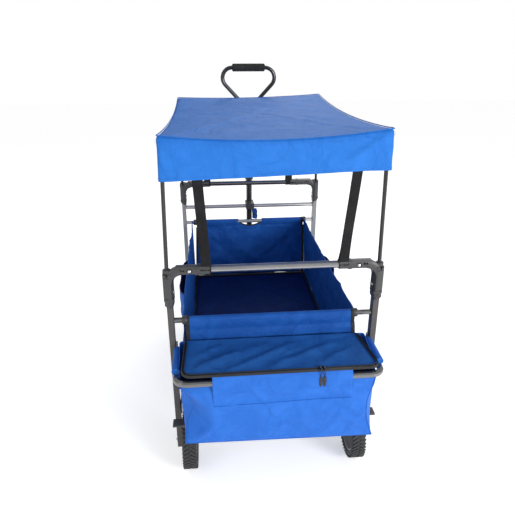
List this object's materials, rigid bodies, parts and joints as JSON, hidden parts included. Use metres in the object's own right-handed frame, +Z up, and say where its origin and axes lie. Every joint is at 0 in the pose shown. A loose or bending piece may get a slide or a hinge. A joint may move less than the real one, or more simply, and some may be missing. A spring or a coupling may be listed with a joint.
{
  "type": "folding beach cart",
  "caption": "Folding wagon with cloth basket, canopy on rods, rear zip bag, telescopic pull handle, push bar, swivel front wheels and braked rear wheels.",
  "frame": {"origin": "on the ground, at the centre of the bounding box, wheels down and handle pulled out", "axes": "+Z up, +Y towards the pull handle, -Y towards the push bar and the bag, +X to the right of someone pushing"},
  "size_m": [0.533, 1.0004, 1.0168],
  "materials": {
    "blue_cloth": "woven polyester",
    "black_webbing": "webbing",
    "floor_cloth": "cloth over board",
    "post_paint": "satin powder coat",
    "silver_paint": "satin paint",
    "black_gloss": "gloss paint",
    "handle_alloy": "black painted alloy",
    "bare_steel": "plated",
    "black_plastic": "moulded",
    "grey_plastic": "moulded",
    "tyre_rubber": "rubber",
    "grip_foam": "foam"
  },
  "bodies": {
    "rear_frame": {"rear_leg_left": "post_paint", "rear_leg_right": "post_paint", "rear_elbow_left": "black_plastic", "rear_elbow_right": "black_plastic", "push_bar": "black_gloss", "rear_top_tube": "black_gloss", "rear_floor_tube": "post_paint", "rear_axle": "bare_steel", "rear_canopy_rod_left": "black_gloss", "rear_canopy_rod_right": "black_gloss", "bag_frame": "black_gloss", "rear_bag": "blue_cloth", "basket_rear_wall": "blue_cloth", "side_wall_left": "blue_cloth", "side_wall_right": "blue_cloth", "canopy": "blue_cloth", "canopy_strap_left": "black_webbing", "canopy_strap_right": "black_webbing"},
    "floor_rear": {"floor_frame_rear": "post_paint", "floor_panel_rear": "floor_cloth"},
    "floor_front": {"floor_frame_front": "post_paint", "floor_panel_front": "floor_cloth"},
    "front_frame": {"front_leg_left": "silver_paint", "front_leg_right": "silver_paint", "front_elbow_left": "black_plastic", "front_elbow_right": "black_plastic", "front_bar": "black_gloss", "handle_rest_bar": "bare_steel", "front_top_tube": "bare_steel", "front_floor_tube": "post_paint", "front_canopy_rod_left": "black_gloss", "front_canopy_rod_right": "black_gloss", "basket_front_wall": "blue_cloth", "caster_bracket_left": "black_plastic", "caster_bracket_right": "black_plastic", "handle_hinge": "post_paint", "handle_clip": "black_plastic"},
    "handle": {"handle_outer_tube": "black_gloss", "handle_lock_collar": "black_plastic"},
    "handle_slider": {"handle_inner_tube": "handle_alloy", "handle_grip": "grip_foam"},
    "bag_lid": {"bag_lid": "blue_cloth"},
    "link_rear_left": {"side_link_rear_left": "post_paint"},
    "link_front_left": {"side_link_front_left": "post_paint"},
    "rear_wheel_left": {"rear_tyre_left": "tyre_rubber", "rear_hub_left": "grey_plastic"},
    "caster_left": {"caster_fork_left": "post_paint"},
    "front_wheel_left": {"front_tyre_left": "tyre_rubber", "front_hub_left": "grey_plastic"},
    "brake_left": {"brake_pedal_left": "black_plastic"},
    "zip_left": {"zip_pull_left": "bare_steel"},
    "link_rear_right": {"side_link_rear_right": "post_paint"},
    "link_front_right": {"side_link_front_right": "post_paint"},
    "rear_wheel_right": {"rear_tyre_right": "tyre_rubber", "rear_hub_right": "grey_plastic"},
    "caster_right": {"caster_fork_right": "post_paint"},
    "front_wheel_right": {"front_tyre_right": "tyre_rubber", "front_hub_right": "grey_plastic"},
    "brake_right": {"brake_pedal_right": "black_plastic"},
    "zip_right": {"zip_pull_right": "bare_steel"}
  },
  "joints": [
    {"name": "fold", "type": "hinge", "parent": "rear_frame", "child": "floor_rear", "pos_m": [0, -0.31875, 0.189], "axis": [1, 0, 0], "range_deg": [0, 76], "deforming": ["canopy", "side_wall_left", "side_wall_right"]},
    {"name": "floor_centre", "type": "hinge", "parent": "floor_rear", "child": "floor_front", "pos_m": [0, 0.04625, 0.189], "axis": [1, 0, 0], "range_deg": [-152, 0]},
    {"name": "front_upright", "type": "hinge", "parent": "floor_front", "child": "front_frame", "pos_m": [0, 0.41125, 0.189], "axis": [1, 0, 0], "range_deg": [0, 76]},
    {"name": "handle_tilt", "type": "hinge", "parent": "front_frame", "child": "handle", "pos_m": [0, 0.48925, 0.158], "axis": [-1, 0, 0], "range_deg": [0, 80]},
    {"name": "handle_slide", "type": "slide", "parent": "handle", "child": "handle_slider", "axis": [0, -0.0209, 0.9998], "range_m": [-0.168, 0]},
    {"name": "bag_lid_open", "type": "hinge", "parent": "rear_frame", "child": "bag_lid", "pos_m": [0, -0.36275, 0.4027], "axis": [-1, 0, 0], "range_deg": [0, 80]},
    {"name": "link_rear_left_pivot", "type": "hinge", "parent": "rear_frame", "child": "link_rear_left", "pos_m": [-0.2425, -0.31875, 0.276], "axis": [1, 0, 0], "range_deg": [0, 76]},
    {"name": "link_front_left_pivot", "type": "hinge", "parent": "link_rear_left", "child": "link_front_left", "pos_m": [-0.2375, 0.04625, 0.276], "axis": [1, 0, 0], "range_deg": [-152, 0]},
    {"name": "rear_wheel_left_spin", "type": "hinge", "parent": "rear_frame", "child": "rear_wheel_left", "pos_m": [-0.2275, -0.34875, 0.078], "axis": [1, 0, 0], "continuous": true},
    {"name": "caster_left_swivel", "type": "hinge", "parent": "front_frame", "child": "caster_left", "pos_m": [-0.2255, 0.44125, 0.156], "axis": [0, 0, 1], "continuous": true},
    {"name": "front_wheel_left_spin", "type": "hinge", "parent": "caster_left", "child": "front_wheel_left", "pos_m": [-0.2255, 0.40625, 0.0705], "axis": [1, 0, 0], "continuous": true},
    {"name": "brake_left_pivot", "type": "hinge", "parent": "rear_frame", "child": "brake_left", "pos_m": [-0.2643, -0.34875, 0.138], "axis": [1, 0, 0], "range_deg": [0, 12]},
    {"name": "zip_left_slide", "type": "slide", "parent": "rear_frame", "child": "zip_left", "axis": [-1, 0, 0], "range_m": [0, 0.28]},
    {"name": "link_rear_right_pivot", "type": "hinge", "parent": "rear_frame", "child": "link_rear_right", "pos_m": [0.2425, -0.31875, 0.276], "axis": [1, 0, 0], "range_deg": [0, 76]},
    {"name": "link_front_right_pivot", "type": "hinge", "parent": "link_rear_right", "child": "link_front_right", "pos_m": [0.2375, 0.04625, 0.276], "axis": [1, 0, 0], "range_deg": [-152, 0]},
    {"name": "rear_wheel_right_spin", "type": "hinge", "parent": "rear_frame", "child": "rear_wheel_right", "pos_m": [0.2275, -0.34875, 0.078], "axis": [1, 0, 0], "continuous": true},
    {"name": "caster_right_swivel", "type": "hinge", "parent": "front_frame", "child": "caster_right", "pos_m": [0.2255, 0.44125, 0.156], "axis": [0, 0, 1], "continuous": true},
    {"name": "front_wheel_right_spin", "type": "hinge", "parent": "caster_right", "child": "front_wheel_right", "pos_m": [0.2255, 0.40625, 0.0705], "axis": [1, 0, 0], "continuous": true},
    {"name": "brake_right_pivot", "type": "hinge", "parent": "rear_frame", "child": "brake_right", "pos_m": [0.2643, -0.34875, 0.138], "axis": [1, 0, 0], "range_deg": [0, 12]},
    {"name": "zip_right_slide", "type": "slide", "parent": "rear_frame", "child": "zip_right", "axis": [1, 0, 0], "range_m": [0, 0.1]}
  ],
  "couplings": [
    {"joint": "floor_centre", "follows": "fold", "ratio": -2},
    {"joint": "front_upright", "follows": "fold", "ratio": 1},
    {"joint": "link_rear_left_pivot", "follows": "fold", "ratio": 1},
    {"joint": "link_front_left_pivot", "follows": "fold", "ratio": -2},
    {"joint": "link_rear_right_pivot", "follows": "fold", "ratio": 1},
    {"joint": "link_front_right_pivot", "follows": "fold", "ratio": -2}
  ]
}
